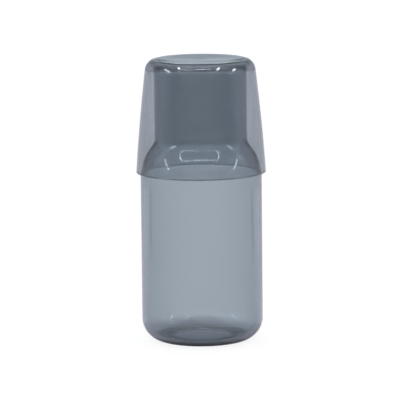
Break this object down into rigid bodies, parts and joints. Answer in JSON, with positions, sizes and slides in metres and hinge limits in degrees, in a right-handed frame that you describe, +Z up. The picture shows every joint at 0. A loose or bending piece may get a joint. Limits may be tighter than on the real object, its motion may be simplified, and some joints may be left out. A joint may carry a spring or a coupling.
{
  "type": "bedside carafe with tumbler",
  "caption": "Straight-sided glass water carafe with a cylindrical neck and a tapered drinking tumbler turned over the neck as its lid; the tumbler lifts off.",
  "frame": {"origin": "centre of the carafe's foot ring, on the surface it stands on", "axes": "+Z up along the common axis of the carafe and the tumbler; the part is round, so +X and +Y are any two directions square to it"},
  "size_m": [0.0962, 0.0962, 0.211],
  "materials": {
    "carafe_glass": "clear smoke-grey blown glass, fire-polished",
    "tumbler_glass": "clear smoke-grey blown glass, fire-polished"
  },
  "bodies": {
    "carafe": {"carafe": "carafe_glass"},
    "tumbler": {"tumbler": "tumbler_glass"}
  },
  "joints": [
    {"name": "tumbler_lift", "type": "slide", "parent": "carafe", "child": "tumbler", "axis": [0, 0, 1], "range_m": [0, 0.1]}
  ]
}
